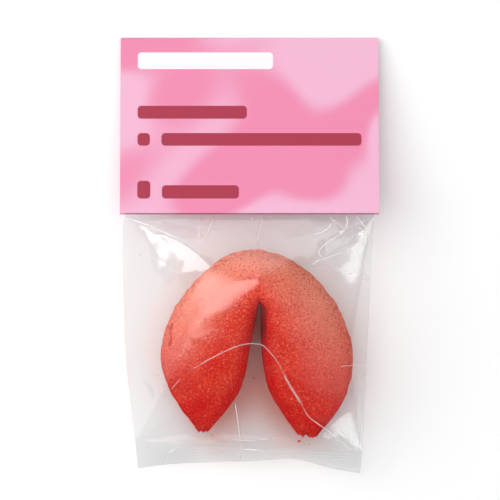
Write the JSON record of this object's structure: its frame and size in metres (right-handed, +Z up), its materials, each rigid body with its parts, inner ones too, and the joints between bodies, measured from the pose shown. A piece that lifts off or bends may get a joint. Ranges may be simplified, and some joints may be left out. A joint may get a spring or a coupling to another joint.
{
  "type": "fortune cookie in a clear bag",
  "caption": "Red fortune cookie, a folded and bent hollow wafer, sealed in a clear flat bag whose mouth is closed by a folded pink header card.",
  "frame": {"origin": "bottom centre of the pack's box, on the surface it lies on", "axes": "+Z up out of the front of the pack, which lies on its back; +Y towards the header card; +X to the right of the pack as read"},
  "size_m": [0.081, 0.1372, 0.029],
  "materials": {
    "wafer": "baked red wafer, dry and matt with fine open pores; matte_plastic stands in for food",
    "clear_film": "thin clear glossy polypropylene film, creased; glass stands in for clear film",
    "printed_card": "coated card printed in soft patches of two pinks; gloss_plastic stands in for card"
  },
  "bodies": {
    "root": {"cookie": "wafer", "bag": "clear_film", "bag_mouth": "clear_film", "header_card": "printed_card"}
  },
  "joints": []
}
